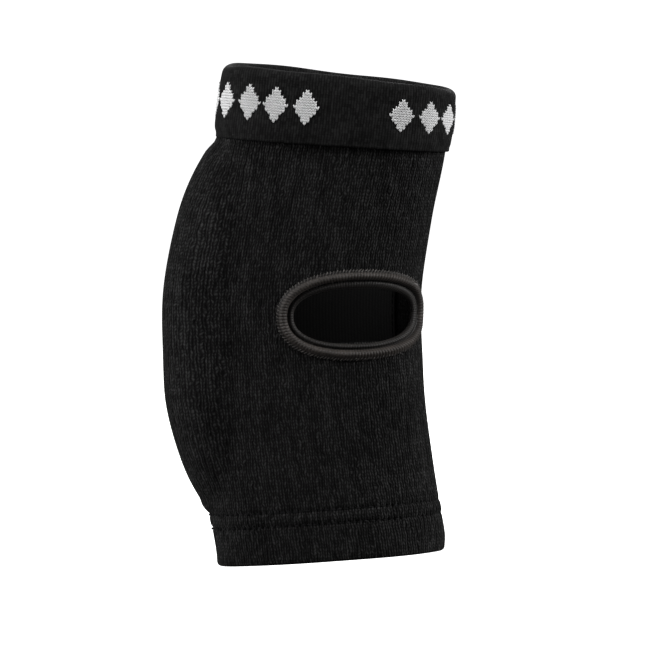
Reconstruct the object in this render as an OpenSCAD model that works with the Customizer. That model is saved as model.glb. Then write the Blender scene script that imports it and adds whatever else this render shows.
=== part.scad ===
// Elbow pad: a pull-on knitted sleeve with a folded cuff, a bound opening over the elbow crease and a foam
// pad over the elbow point. Millimetres. +Z runs from the forearm hem to the upper-arm cuff, +X points to the
// crease side and -Y to the side that holds the crease opening. The origin is the forearm opening's centre.
//
// Every place on the sleeve is given by three numbers: girth position g, the distance around the arm passage
// from the crease side; height h, along the centre line; and depth d, outwards from the passage's surface.

/* [Arm passage] */
// Half width of the arm passage, crease side to elbow-point side
passage_half_width = 47.4; // [44:0.2:52]
// Half depth of the arm passage
passage_half_depth = 25.9; // [23:0.1:30]
// How square the passage is, where 0 is a plain ellipse
squareness = 0.08; // [0:0.01:0.12]
// Height of the upper rim along the centre line
rim_height = 211.5; // [206:0.5:220]
// Tilt of the upper rim towards the crease side, in degrees
rim_tilt = 10.4; // [4:0.1:14]

/* [Sleeve knit] */
// Thickness of the knitted fabric
knit_thickness = 1.6; // [1.2:0.1:1.8]
// Depth of the fabric's inner face, which leaves room for the pad's lining
knit_depth = 1.0; // [0.9:0.1:1.2]
// Height of the turned-up hem layer
hem_turn_up = 23.5; // [20:0.1:23.5]
// Height of the lower row of hem stitches
lower_row_height = 16.7; // [14:0.1:18]
// Height of the upper row of hem stitches
upper_row_height = 22.8; // [19:0.1:23]

/* [Elbow zone] */
// Height where the bending elbow zone starts
elbow_low = 58; // [54:1:62]
// Height where the bending elbow zone ends
elbow_high = 158; // [152:1:160]

/* [Crease opening] */
// Height of the opening's centre
opening_height = 108.2; // [104:0.2:110]
// Half length of the opening around the arm, at the fabric's edge
opening_half_length = 29.6; // [28:0.2:34]
// Half height of the opening, at the fabric's edge
opening_half_height = 14.6; // [11:0.2:16]
// Width of the binding over the fabric
binding_cover = 5.4; // [4:0.1:6]

/* [Foam pad] */
// Height of the pad's centre
pad_height = 103.5; // [103:0.5:104.5]
// Half width of the bulge that the pad makes, around the arm
pad_half_width = 64; // [56:1:66]
// Half height of the bulge that the pad makes
pad_half_height = 81; // [76:1:81]
// Rise of the bulge at its crown
pad_crown = 14.8; // [12:0.2:17]
// Thickness of the pocket lining
lining_thickness = 0.7; // [0.5:0.1:0.7]

/* [Cuff] */
// Height of the cuff's lower edge
cuff_low = 181.8; // [180:0.2:182]
// Thickness of one layer of the cuff's band
cuff_layer = 1.7; // [1.4:0.1:1.8]
// Number of diamonds in each group of the motif
diamond_count = 5; // [3:1:5]
// Width of one diamond
diamond_width = 10.6; // [8:0.2:11]
// Height of one diamond
diamond_height = 14.4; // [8:0.2:16]
// Distance between the centres of neighbouring diamonds
diamond_pitch = 13; // [11.4:0.2:13.4]

/* [Hidden] */

knit_black = [0.11, 0.11, 0.115];
cuff_black = [0.09, 0.09, 0.095];
binding_grey = [0.23, 0.21, 0.2];
thread_black = [0.14, 0.14, 0.145];
motif_grey = [0.7, 0.7, 0.71];
foam_grey = [0.32, 0.32, 0.34];
lining_black = [0.07, 0.07, 0.075];
elastic_grey = [0.5, 0.5, 0.48];

// The centre line: part of the rim's height, then sideways shift towards the crease side
spine = [[0, 0], [0.21, -2.6], [0.38, -3.6], [0.55, -2.2], [0.71, 5], [0.87, 13.6], [1, 18.5]];
// Columns of facets around the arm, and how many of them lie to each side of the opening in its patch
columns = 60;
patch_columns = 12;
// Rows of facets up the elbow zone, and rings of facets between the opening and the edge of its patch
elbow_rows = 9;
patch_rings = 3;
// Facets along the binding, and around the foam pad
binding_steps = 56;
pad_steps = 44;
// Roundness of the opening's outline, where 2 is an ellipse, and of the bulge's fall to its edge
opening_power = 2.3;
bulge_power = 4;
// How gently the fabric comes down at the bulge's edge, where 0 is a sharp corner
bulge_ease = 0.12;
// Parts of the bulge's outline: facet rings out to the foam's blunt edge, pocket seam, lining edge
foam_parts = [0.2, 0.4, 0.58, 0.72, 0.82, 0.9, 0.95];
seam_part = 0.965;
lining_part = 0.98;
foam_clearance = 0.5;
// Gap between pieces that move apart, and between layers that lie on each other
body_gap = 0.3;
knit_outside = knit_depth + knit_thickness;
// Heights of the facet rows where the bulge starts and where it ends
low_rows = [25, 27, 30, 34, 40, 48];
high_rows = [163, 168, 173, 177, 180, 182, 184];
// Height and depth of the rounding at the hem's fold
hem_rounding = 0.8;
hem_inside_low = 3;
// Depths of the cuff's two layers: the sleeve's edge and the elastic lie between them
cuff_inside = -0.9;
cuff_inner_face = cuff_inside + cuff_layer - 0.1;
cuff_outer_face = knit_outside + 0.5;
cuff_outside = cuff_outer_face + cuff_layer + 0.1;
// Rise of the cuff's rolled rim, and of the rounding of its lower edge
roll_rise = 3.4;
cuff_rounding = 0.6;
cuff_full_height = 184;
cuff_inner_low = 187;
sleeve_top = 190;
// Gaps of the elastic to the sleeve's edge below it and to the rolled rim above it
elastic_low_gap = 1.5;
elastic_high_gap = 4;
// Height of the cuff's seam above its lower edge
join_rise = 1.7;
// Turns of the opening's centre and of the gap in the motif's front, in degrees from the crease side
opening_turn = 64;
gap_turn = 81;
// Distances around the arm from that gap to the middles of the groups beside it
left_group = 44;
right_group = 46;
// How far the motif's yarn stands out of the cuff, and how deep it reaches in
yarn_rise = 0.3;
yarn_root = 0.4;
// Binding tape: thickness at its edge and its shoulder, crown over the fabric's edge, reach into the opening
tape_edge = 0.6;
tape_shoulder = 1.1;
tape_crown = 1.3;
tape_web = 0.3;
shoulder_inset = 0.9;
thread_radius = 0.35;

// The passage's outline in its own ring, and the outward direction there, at a turn in degrees
function ring_point(turn) = [
    passage_half_width * cos(turn) * (1 + squareness * pow(sin(turn), 2)),
    -passage_half_depth * sin(turn) * (1 + squareness * pow(cos(turn), 2))
];
function ring_normal(turn) =
    let (along = ring_point(turn + 0.5) - ring_point(turn - 0.5))
    [-along[1], along[0]] / norm(along);

// Distance around the passage at each degree of turn, and the turn at a distance
function ring_step(turn) = norm(ring_point(turn) - ring_point(turn - 1));
ring_lengths = [
    for (turn = 0, run = 0; turn <= 360; turn = turn + 1, run = run + ring_step(turn)) [run, turn]
];
ring_turns = [for (pair = ring_lengths) [pair[1], pair[0]]];
girth = ring_lengths[360][0];
function turn_at(g) = lookup(g - girth * floor(g / girth), ring_lengths);
function girth_gap(g) = g - girth * round(g / girth);

// Sideways shift of the centre line at a part of the rim's height, smooth through the spine's points
function spine_slope(i) =
    let (low = spine[max(i - 1, 0)], high = spine[min(i + 1, len(spine) - 1)])
    (high[1] - low[1]) / (high[0] - low[0]);
function spine_shift(part, i = 0) =
    part > spine[i + 1][0] && i < len(spine) - 2 ? spine_shift(part, i + 1) :
    let (low = spine[i], high = spine[i + 1], span = high[0] - low[0], f = (part - low[0]) / span)
    low[1] * (1 + 2 * f) * pow(1 - f, 2) + high[1] * pow(f, 2) * (3 - 2 * f)
        + span * f * (1 - f) * (spine_slope(i) * (1 - f) - spine_slope(i + 1) * f);

// The opening lies in front, a little towards the crease side, and the pad lies opposite to it
opening_girth = lookup(opening_turn, ring_turns);
pad_girth = opening_girth + girth / 2;

// How far the pad lifts the sleeve, and the place in space of a girth position, height and depth
function bulge(g, h) =
    let (
        side = pow(abs(girth_gap(g - pad_girth)) / pad_half_width, bulge_power),
        end = pow(abs(h - pad_height) / pad_half_height, bulge_power),
        inside = 1 - side - end
    )
    pad_crown * (inside + norm([inside, bulge_ease])) / 2;
function place(g, h, d) =
    let (
        turn = turn_at(g),
        flat = ring_point(turn) + d * ring_normal(turn),
        part = h / rim_height,
        tilt = rim_tilt * pow(part, 2)
    )
    [spine_shift(part) + flat[0] * cos(tilt), flat[1], h - flat[0] * sin(tilt)];
function place_on_pad(g, h, d) = place(g, h, d + bulge(g, h));
function column_girth(i) = opening_girth + girth * i / columns;

function flip(faces) = [for (face = faces) [face[2], face[1], face[0]]];
// Two triangles between each pair of neighbouring loops of a closed band
function band_faces(low, high) =
    let (count = len(low))
    [for (j = [0:count - 1]) let (k = (j + 1) % count)
        each [[low[j], high[j], high[k]], [low[j], high[k], low[k]]]];

// A closed tube whose loops, each of the same number of points, follow one another around a ring
module looped_solid(loops) {
    size = len(loops[0]);
    count = len(loops);
    function loop_indexes(i) = [for (j = [0:size - 1]) (i % count) * size + j];
    faces = [for (i = [0:count - 1]) each band_faces(loop_indexes(i + 1), loop_indexes(i))];
    polyhedron([for (loop = loops) each loop], faces);
}

// A closed outline of heights and depths, carried around the whole arm
module around_arm(outline) {
    looped_solid([for (i = [0:columns - 1])
        [for (spot = outline) place_on_pad(column_girth(i), spot[0], spot[1])]]);
}

function round_outline(h, d, radius) =
    [for (turn = [0:60:300]) [h + radius * cos(turn), d + radius * sin(turn)]];

// A wall of fabric as an outline: up its inner face, then down its outer face
function wall_outline(heights, inner, outer) = [
    for (h = heights) [h, inner],
    for (i = [len(heights) - 1:-1:0]) [heights[i], outer]
];

module sleeve_lower_knit() {
    turned_face = knit_depth - body_gap;
    color(knit_black)
    around_arm([
        [0, 0], [hem_rounding, cuff_inside], [hem_turn_up, cuff_inside], [hem_turn_up, turned_face],
        [hem_inside_low, turned_face], [hem_inside_low, knit_depth], [hem_turn_up, knit_depth],
        for (h = low_rows) [h, knit_depth],
        [elbow_low, knit_depth], [elbow_low, knit_outside],
        for (i = [len(low_rows) - 1:-1:0]) [low_rows[i], knit_outside],
        [hem_turn_up, knit_outside], [hem_inside_low, knit_outside],
        [hem_rounding, knit_outside - hem_rounding / 4], [0, knit_outside - hem_rounding]
    ]);
}

module sleeve_upper_knit() {
    color(knit_black)
    around_arm(wall_outline([elbow_high + body_gap, each high_rows, sleeve_top], knit_depth, knit_outside));
}

// The outline of the opening at a turn about its centre, moved outwards by a distance
function rounded(value, power) = sign(value) * pow(abs(value), 2 / power);
function opening_spot(turn, outwards) = [
    opening_girth + (opening_half_length + outwards) * rounded(cos(turn), opening_power),
    opening_height + (opening_half_height + outwards) * rounded(sin(turn), opening_power)
];

// The elbow zone is a grid of columns and rows, with a patch of rings around the opening for some cells
module sleeve_elbow_knit() {
    row_step = (elbow_high - elbow_low) / elbow_rows;
    loop_size = elbow_rows + 1;
    function row_height(r) = elbow_low + r * row_step;
    function grid_index(i, r) = ((i + columns) % columns) * loop_size + r;
    // Column and row of each grid point around the patch's edge
    patch_edge = [
        for (i = [-patch_columns:patch_columns - 1]) [i, 0],
        for (r = [0:elbow_rows - 1]) [patch_columns, r],
        for (i = [patch_columns:-1:1 - patch_columns]) [i, elbow_rows],
        for (r = [elbow_rows:-1:1]) [-patch_columns, r]
    ];
    edge_count = len(patch_edge);
    mid_row = (opening_height - elbow_low) / row_step;
    function edge_spot(j) = [column_girth(patch_edge[j][0]), row_height(patch_edge[j][1])];
    function edge_turn(j) =
        atan2((patch_edge[j][1] - mid_row) / elbow_rows, patch_edge[j][0] / (2 * patch_columns));
    function patch_spot(ring, j) =
        let (f = pow(ring / patch_rings, 1.4))
        (1 - f) * opening_spot(edge_turn(j), 0) + f * edge_spot(j);

    grid_spots = [for (i = [0:columns - 1]) for (r = [0:elbow_rows]) [column_girth(i), row_height(r)]];
    patch_spots = [for (ring = [0:patch_rings - 1]) for (j = [0:edge_count - 1]) patch_spot(ring, j)];
    spots = [each grid_spots, each patch_spots];
    layer = len(spots);

    grid_faces = [for (i = [patch_columns:columns - patch_columns - 1]) for (r = [0:elbow_rows - 1])
        each [
            [grid_index(i, r), grid_index(i + 1, r + 1), grid_index(i, r + 1)],
            [grid_index(i, r), grid_index(i + 1, r), grid_index(i + 1, r + 1)]
        ]];
    function ring_loop(ring) = ring == patch_rings
        ? [for (spot = patch_edge) grid_index(spot[0], spot[1])]
        : [for (j = [0:edge_count - 1]) len(grid_spots) + ring * edge_count + j];
    patch_faces = [for (ring = [0:patch_rings - 1]) each band_faces(ring_loop(ring), ring_loop(ring + 1))];
    outer_faces = [each grid_faces, each patch_faces];
    inner_faces = [for (face = flip(outer_faces)) [face[0] + layer, face[1] + layer, face[2] + layer]];
    function deeper(loop) = [for (index = loop) index + layer];
    low_loop = [for (i = [0:columns - 1]) grid_index(i, 0)];
    high_loop = [for (i = [0:columns - 1]) grid_index(i, elbow_rows)];
    points = [
        for (spot = spots) place_on_pad(spot[0], spot[1], knit_outside),
        for (spot = spots) place_on_pad(spot[0], spot[1], knit_depth)
    ];
    color(knit_black)
    polyhedron(points, [
        each outer_faces,
        each inner_faces,
        each band_faces(low_loop, deeper(low_loop)),
        each band_faces(deeper(high_loop), high_loop),
        each band_faces(deeper(ring_loop(0)), ring_loop(0))
    ]);
}

module hem_lower_row_thread() {
    color(thread_black)
    around_arm(round_outline(lower_row_height, knit_outside, thread_radius));
}

module hem_upper_row_thread() {
    color(thread_black)
    around_arm(round_outline(upper_row_height, knit_outside, thread_radius));
}

// The looper thread lies flat inside the hem and joins the two rows
module hem_looper_thread() {
    heights = [lower_row_height - 0.5, upper_row_height + 0.5];
    color(thread_black)
    around_arm(wall_outline(heights, cuff_inside - 0.4, cuff_inside + 0.2));
}

// One strip folded over the rim: inner layer, rolled fold, outer layer
module cuff_band() {
    roll_height = rim_height - roll_rise;
    roll_middle = (cuff_inside + cuff_outside) / 2;
    roll_radius = (cuff_outside - cuff_inside) / 2;
    fold_radius = (cuff_outer_face - cuff_inner_face) / 2;
    function roll_spot(turn, rise, radius) =
        [roll_height + rise * sin(turn), roll_middle + radius * cos(turn)];
    color(cuff_black)
    around_arm([
        [cuff_inner_low, cuff_inside],
        for (turn = [180:-22.5:0]) roll_spot(turn, roll_rise, roll_radius),
        [cuff_inner_low, cuff_outside], [cuff_full_height, cuff_outside],
        [cuff_low + cuff_rounding, cuff_outside - cuff_rounding / 6],
        [cuff_low, cuff_outside - cuff_rounding],
        [cuff_low, cuff_outer_face + cuff_rounding / 2], [cuff_low + cuff_rounding, cuff_outer_face],
        [cuff_full_height, cuff_outer_face], [cuff_inner_low, cuff_outer_face],
        for (turn = [0:45:180]) roll_spot(turn, fold_radius, fold_radius),
        [cuff_inner_low, cuff_inner_face]
    ]);
}

module cuff_elastic() {
    color(elastic_grey)
    around_arm(wall_outline(
        [sleeve_top + elastic_low_gap, rim_height - elastic_high_gap], knit_depth, cuff_outer_face - body_gap
    ));
}

module cuff_join_thread() {
    color(thread_black)
    around_arm(round_outline(cuff_low + join_rise, cuff_outside, thread_radius));
}

// A lozenge of yarn that stands a little out of the cuff: its eight edge points and its middle, twice
module diamond(g, h) {
    corner = [[1, 0], [0.5, 0.5], [0, 1], [-0.5, 0.5], [-1, 0], [-0.5, -0.5], [0, -1], [0.5, -0.5]];
    function face_points(d) = [
        place(g, h, d),
        for (spot = corner) place(g + spot[0] * diamond_width / 2, h + spot[1] * diamond_height / 2, d)
    ];
    outer = [for (j = [1:8]) j];
    inner = [for (j = [10:17]) j];
    top = [for (j = [0:7]) [0, outer[j], outer[(j + 1) % 8]]];
    base = [for (j = [0:7]) [9, inner[(j + 1) % 8], inner[j]]];
    polyhedron(
        [each face_points(cuff_outside + yarn_rise), each face_points(cuff_outside - yarn_root)],
        [each top, each base, each band_faces(outer, inner)]
    );
}

// Three groups around the cuff, two with a gap in front and one behind
module cuff_motif_yarn() {
    motif_height = (cuff_low + rim_height) / 2;
    front_gap = lookup(gap_turn, ring_turns);
    for (middle = [front_gap - right_group, front_gap + left_group, front_gap + girth / 2])
        for (i = [0:diamond_count - 1])
            color(motif_grey)
            diamond(middle + (i - (diamond_count - 1) / 2) * diamond_pitch, motif_height);
}

// An outline of distances from the opening's edge and depths, carried around the opening
module around_opening(outline) {
    looped_solid([for (i = [0:binding_steps - 1])
        [for (spot = outline)
            let (where = opening_spot(-360 * i / binding_steps, spot[0]))
            place_on_pad(where[0], where[1], spot[1])]]);
}

// Soft tape folded over the fabric's edge, so its section is a U
module crease_binding() {
    low = knit_depth - body_gap / 2;
    high = knit_outside + body_gap / 2;
    shoulder = binding_cover - shoulder_inset;
    tip = tape_web + tape_edge;
    color(binding_grey)
    around_opening([
        [binding_cover, high], [binding_cover, high + tape_edge], [shoulder, high + tape_shoulder],
        [0, high + tape_crown], [-tip, high + tape_edge], [-tip - tape_web, (low + high) / 2],
        [-tip, low - tape_edge], [0, low - tape_crown], [shoulder, low - tape_shoulder],
        [binding_cover, low - tape_edge], [binding_cover, low], [-tape_web, low], [-tape_web, high]
    ]);
}

module binding_overlock_thread() {
    depth = knit_outside + body_gap / 2 + tape_edge;
    color(thread_black)
    around_opening(round_outline(binding_cover - body_gap, depth, thread_radius));
}

// Spots on the pad's outline, scaled in from the bulge's edge
function pad_spot(part, turn) =
    let (reach = part / pow(pow(cos(turn), bulge_power) + pow(sin(turn), bulge_power), 1 / bulge_power))
    [pad_girth + pad_half_width * reach * cos(turn), pad_height + pad_half_height * reach * sin(turn)];

// A curved slab made of rings around the pad's middle, level or lifted by the bulge
module pad_slab(parts, lower, lifted) {
    rings = len(parts);
    function step_turn(j) = 360 * j / pad_steps;
    spots = [pad_spot(0, 0), for (part = parts) for (j = [0:pad_steps - 1]) pad_spot(part, step_turn(j))];
    layer = len(spots);
    function ring_loop(ring) = [for (j = [0:pad_steps - 1]) 1 + ring * pad_steps + j];
    function deeper(loop) = [for (index = loop) index + layer];
    middle_faces = [for (j = [0:pad_steps - 1]) [0, 1 + j, 1 + (j + 1) % pad_steps]];
    outer_faces = [
        each middle_faces,
        for (ring = [0:rings - 2]) each band_faces(ring_loop(ring), ring_loop(ring + 1))
    ];
    inner_faces = [for (face = flip(outer_faces)) [face[0] + layer, face[1] + layer, face[2] + layer]];
    function thickness(spot) = lifted ? bulge(spot[0], spot[1]) - foam_clearance : lining_thickness;
    points = [
        for (spot = spots) place(spot[0], spot[1], lower + thickness(spot)),
        for (spot = spots) place(spot[0], spot[1], lower)
    ];
    polyhedron(points, [
        each outer_faces,
        each inner_faces,
        each band_faces(ring_loop(rings - 1), deeper(ring_loop(rings - 1)))
    ]);
}

module foam_pad() {
    color(foam_grey)
    pad_slab(foam_parts, lining_thickness, true);
}

module pad_pocket_lining() {
    color(lining_black)
    pad_slab([each foam_parts, lining_part], 0, false);
}

// A line of stitches near the lining's edge, on its arm side
module pad_pocket_thread() {
    color(thread_black)
    looped_solid([for (i = [0:pad_steps - 1])
        [for (turn = [0:60:300])
            let (
                part = seam_part + thread_radius / pad_half_width * cos(turn),
                where = pad_spot(part, -360 * i / pad_steps)
            )
            place(where[0], where[1], thread_radius * sin(turn))]]);
}

sleeve_lower_knit();
sleeve_elbow_knit();
sleeve_upper_knit();
hem_lower_row_thread();
hem_upper_row_thread();
hem_looper_thread();
cuff_band();
cuff_elastic();
cuff_motif_yarn();
cuff_join_thread();
crease_binding();
binding_overlock_thread();
foam_pad();
pad_pocket_lining();
pad_pocket_thread();
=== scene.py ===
import math

import bpy
import numpy as np
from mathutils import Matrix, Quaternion, Vector


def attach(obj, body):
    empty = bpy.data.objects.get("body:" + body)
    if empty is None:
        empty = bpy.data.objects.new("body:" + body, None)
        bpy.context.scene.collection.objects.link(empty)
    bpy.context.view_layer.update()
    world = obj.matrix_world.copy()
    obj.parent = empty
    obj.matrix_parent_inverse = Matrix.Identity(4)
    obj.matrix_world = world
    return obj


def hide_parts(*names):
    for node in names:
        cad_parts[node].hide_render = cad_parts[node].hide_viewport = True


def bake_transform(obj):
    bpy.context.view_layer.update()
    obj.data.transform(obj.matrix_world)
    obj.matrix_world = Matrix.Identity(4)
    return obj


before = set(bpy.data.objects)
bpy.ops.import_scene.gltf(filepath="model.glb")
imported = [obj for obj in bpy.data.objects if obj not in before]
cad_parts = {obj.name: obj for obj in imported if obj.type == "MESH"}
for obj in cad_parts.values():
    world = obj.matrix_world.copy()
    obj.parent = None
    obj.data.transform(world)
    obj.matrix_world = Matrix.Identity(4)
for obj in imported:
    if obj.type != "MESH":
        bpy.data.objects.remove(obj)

# The looks of the elbow pad, around its CAD frame. Shapes are worked out in millimetres and made in metres.
# A place on the sleeve is a turn around the arm, a height along the centre line and a depth outwards from
# the arm passage, as in the CAD model.

MM = 0.001
FULL_TURN = 2 * math.pi
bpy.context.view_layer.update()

# Arm passage
PASSAGE_HALF_WIDTH = 47.4
PASSAGE_HALF_DEPTH = 25.9
SQUARENESS = 0.08
RIM_HEIGHT = 211.5
RIM_TILT = math.radians(10.4)
SPINE = np.array([[0, 0], [0.21, -2.6], [0.38, -3.6], [0.55, -2.2], [0.71, 5], [0.87, 13.6], [1, 18.5]])

# Sleeve knit
KNIT_INSIDE = 1.0
KNIT_OUTSIDE = 2.6
TURNED_INSIDE = -0.9
SLEEVE_TOP = 190
HEM_TOP = 23.5
HEM_STITCH_COUNT = 92
HEM_THREAD_RADIUS = 0.34
LOOPER_THREAD_RADIUS = 0.24
LOWER_ROW = 16.7
UPPER_ROW = 22.8
WALE = 2.4
COURSE = 1.5
COLUMNS_PER_WALE = 4
RIB_RELIEF = 0.3
DRAPE_SLOW = 0.28
DRAPE_QUICK = 0.12
# The fabric flares at the hem's two sides, and bulges just above the hem at the elbow side
FLARE_CREASE_SIDE = 1.5
FLARE_ELBOW_SIDE = 0.5
FLARE_REACH = 30
LOBE_RISE = 1.1
LOBE_HEIGHT = 26.3
LOBE_REACH = 2.6

# Crease opening
OPENING_TURN = math.radians(64)
OPENING_HEIGHT = 108.2
OPENING_HALF_LENGTH = 29.6
OPENING_HALF_HEIGHT = 14.6
OPENING_POWER = 2.3
BINDING_COVER = 5.4
BINDING_LENGTH = 164
BINDING_RIB = 1.3
BINDING_FLANGE = 1.5
BINDING_NEEDLE = 0.75
BINDING_GROOVE = 6.2

# Foam pad
PAD_HEIGHT = 103.5
PAD_HALF_WIDTH = 64
PAD_HALF_HEIGHT = 81
PAD_CROWN = 14.8
PAD_POWER = 4
PAD_EASE = 0.12
APEX_HEIGHT = 74
APEX_REACH = 18
APEX_RISE = 0.08
# The cuff presses the pad's upper end flat, from this height up
SQUEEZE_LOW = 176
SQUEEZE = 0.75
PAD_REACH = 0.93
# The foam lies this far above its lining and below the sleeve, and its edge is this thick
FOAM_LOW_GAP = 0.9
FOAM_HIGH_GAP = 1.3
FOAM_EDGE = 2.6
LINING = 0.7
LINING_REACH = 0.98
SEAM_REACH = 0.965
POCKET_STITCH_COUNT = 150
POCKET_THREAD_RADIUS = 0.26

# Cuff
CUFF_LOW = 181.8
CUFF_INNER_LOW = 187
CUFF_INSIDE = -0.9
CUFF_OUTSIDE = 4.9
CUFF_LAYER = 1.7
CUFF_WALE = 1.25
CUFF_COURSE = 1.1
CUFF_STITCH_COUNT = 84
CUFF_STITCH_RISE = 1.7
CUFF_THREAD_RADIUS = 0.22
CUFF_LEAN = 1.4
CUFF_TUCK = 1.1
RIM_ROLL = 3.4
RIM_RISE = 0.45
DIAMOND_COUNT = 5
DIAMOND_WIDTH = 10.6
DIAMOND_HEIGHT = 14.4
DIAMOND_PITCH = 13
# Turns at the nearest ends of the two front groups of diamonds
MOTIF_LEFT_END = math.radians(99)
MOTIF_RIGHT_END = math.radians(62.5)

# Foam swelling, in metres and frames, with the furthest that a point moves in millimetres
VOXEL = 0.0035
SWELL_FRAMES = 16
SWELL_PRESSURE = 4
SWELL_CAP = 0.8

# Stage, in metres
FLOOR_RADIUS = 3
DOME_RADIUS = 8
STAGE_SIDES = 64
DOME_RINGS = 15

# Camera, in metres and radians
CAMERA_DISTANCE = 5.0
CAMERA_ELEVATION = math.radians(2.8)
CAMERA_ROLL = math.radians(-4.0)
CAMERA_TARGET = (0.0048, 0, 0.1025)
VIEW_WIDTH = 0.286
SENSOR_WIDTH = 36


# ---- The sleeve's shape ----------------------------------------------------------------------------------


def hump(value, middle, reach):
    """A smooth hump of height one around a middle."""
    return np.exp(-(((value - middle) / reach) ** 2))


def ring_point(turn):
    """The passage's outline in its own ring."""
    across = PASSAGE_HALF_WIDTH * np.cos(turn) * (1 + SQUARENESS * np.sin(turn) ** 2)
    forward = -PASSAGE_HALF_DEPTH * np.sin(turn) * (1 + SQUARENESS * np.cos(turn) ** 2)
    return np.stack([across, forward], -1)


def ring_normal(turn):
    """The outward direction of the passage's outline."""
    along = ring_point(turn + 1e-3) - ring_point(turn - 1e-3)
    out = np.stack([-along[..., 1], along[..., 0]], -1)
    return out / np.linalg.norm(out, axis=-1, keepdims=True)


class Girth:
    """Distances around the sleeve at one depth."""

    def __init__(self, depth):
        self.turns = np.linspace(0, FULL_TURN, 4097)
        points = ring_point(self.turns) + depth * ring_normal(self.turns)
        steps = np.linalg.norm(np.diff(points, axis=0), axis=1)
        self.run = np.concatenate([[0], np.cumsum(steps)])
        self.length = self.run[-1]

    def turn(self, distance):
        return np.interp(np.mod(distance, self.length), self.run, self.turns)

    def distance(self, turn):
        return np.interp(np.mod(turn, FULL_TURN), self.turns, self.run)

    def gap(self, distance, middle):
        """Distance from a middle, the short way round."""
        away = distance - middle
        return away - self.length * np.round(away / self.length)


PASSAGE = Girth(0)
SLEEVE = Girth(KNIT_OUTSIDE)
CUFF = Girth(CUFF_OUTSIDE)
OPENING_GIRTH = float(PASSAGE.distance(OPENING_TURN))
PAD_GIRTH = OPENING_GIRTH + PASSAGE.length / 2
HEM_STITCH = SLEEVE.length / HEM_STITCH_COUNT


def spine_shift(part):
    """Sideways shift of the centre line, smooth through the spine's points."""
    heights, shifts = SPINE[:, 0], SPINE[:, 1]
    last = len(SPINE) - 1
    before = np.maximum(np.arange(last + 1) - 1, 0)
    after = np.minimum(np.arange(last + 1) + 1, last)
    slopes = (shifts[after] - shifts[before]) / (heights[after] - heights[before])
    i = np.clip(np.searchsorted(heights, part) - 1, 0, last - 1)
    span = heights[i + 1] - heights[i]
    f = (part - heights[i]) / span
    ease = shifts[i] * (1 + 2 * f) * (1 - f) ** 2 + shifts[i + 1] * f**2 * (3 - 2 * f)
    return ease + span * f * (1 - f) * (slopes[i] * (1 - f) - slopes[i + 1] * f)


def bulge(turn, height):
    """How far the pad lifts the sleeve, with the fabric easing down over its edges."""
    side = np.abs(PASSAGE.gap(PASSAGE.distance(turn), PAD_GIRTH) / PAD_HALF_WIDTH) ** PAD_POWER
    end = np.abs((height - PAD_HEIGHT) / PAD_HALF_HEIGHT) ** PAD_POWER
    inside = 1 - side - end
    under_cuff = np.clip((height - SQUEEZE_LOW) / (CUFF_LOW - SQUEEZE_LOW), 0, 1)
    squeeze = 1 - SQUEEZE * under_cuff**2 * (3 - 2 * under_cuff)
    apex = 1 + APEX_RISE * hump(height, APEX_HEIGHT, APEX_REACH)
    return squeeze * apex * PAD_CROWN * (inside + np.sqrt(inside**2 + PAD_EASE**2)) / 2


def place(turn, height, depth):
    """Points in millimetres, for a turn, height and depth each."""
    turn, height, depth = np.broadcast_arrays(turn, height, depth)
    flat = ring_point(turn) + depth[..., None] * ring_normal(turn)
    part = height / RIM_HEIGHT
    tilt = RIM_TILT * part**2
    across = spine_shift(part) + flat[..., 0] * np.cos(tilt)
    return np.stack([across, flat[..., 1], height - flat[..., 0] * np.sin(tilt)], -1)


def drape(turn, height):
    """The slow unevenness of soft fabric."""
    slow = np.sin(2 * turn + height / 23) * np.sin(height / 31 + 1.3)
    quick = np.sin(5 * turn - height / 11 + 0.7) * np.sin(height / 17)
    return DRAPE_SLOW * slow + DRAPE_QUICK * quick


def on_sleeve(turn, height, depth):
    """A place that follows the sleeve over its pad."""
    fade = np.clip(np.asarray(height) / FLARE_REACH, 0, 1)
    return place(turn, height, depth + bulge(turn, height) + fade * drape(turn, height))


def rounded(value, power):
    """A cosine or sine drawn towards the corners of a rounded oblong."""
    return np.sign(value) * np.abs(value) ** (2 / power)


def opening_spot(angle, outwards):
    """Turn and height of a spot around the crease opening, moved outwards from the fabric's edge."""
    across = (OPENING_HALF_LENGTH + outwards) * rounded(np.cos(angle), OPENING_POWER)
    up = (OPENING_HALF_HEIGHT + outwards) * rounded(np.sin(angle), OPENING_POWER)
    return PASSAGE.turn(OPENING_GIRTH + across), OPENING_HEIGHT + up


def pad_spot(part, angle):
    """Turn and height of a spot on the pad's outline, scaled in from the bulge's edge."""
    reach = part / (np.cos(angle) ** PAD_POWER + np.sin(angle) ** PAD_POWER) ** (1 / PAD_POWER)
    across = PAD_HALF_WIDTH * reach * np.cos(angle)
    return PASSAGE.turn(PAD_GIRTH + across), PAD_HEIGHT + PAD_HALF_HEIGHT * reach * np.sin(angle)


# ---- Meshes ----------------------------------------------------------------------------------------------


def make_object(name, points, faces, uvs=None):
    """A smooth-shaded piece from points in millimetres, whose normals face outwards."""
    mesh = bpy.data.meshes.new(name)
    mesh.from_pydata((np.asarray(points) * MM).tolist(), [], faces)
    mesh.polygons.foreach_set("use_smooth", np.ones(len(mesh.polygons), bool))
    if uvs is not None:
        layer = mesh.uv_layers.new(name="threads")
        layer.data.foreach_set("uv", np.asarray(uvs, np.float32).ravel())
    mesh.update()
    if inside_out(mesh):
        mesh.flip_normals()
    piece = bpy.data.objects.new(name, mesh)
    bpy.context.scene.collection.objects.link(piece)
    return piece


def mesh_points(mesh):
    """The mesh's vertices, in metres."""
    points = np.zeros(len(mesh.vertices) * 3)
    mesh.vertices.foreach_get("co", points)
    return points.reshape(-1, 3)


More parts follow.
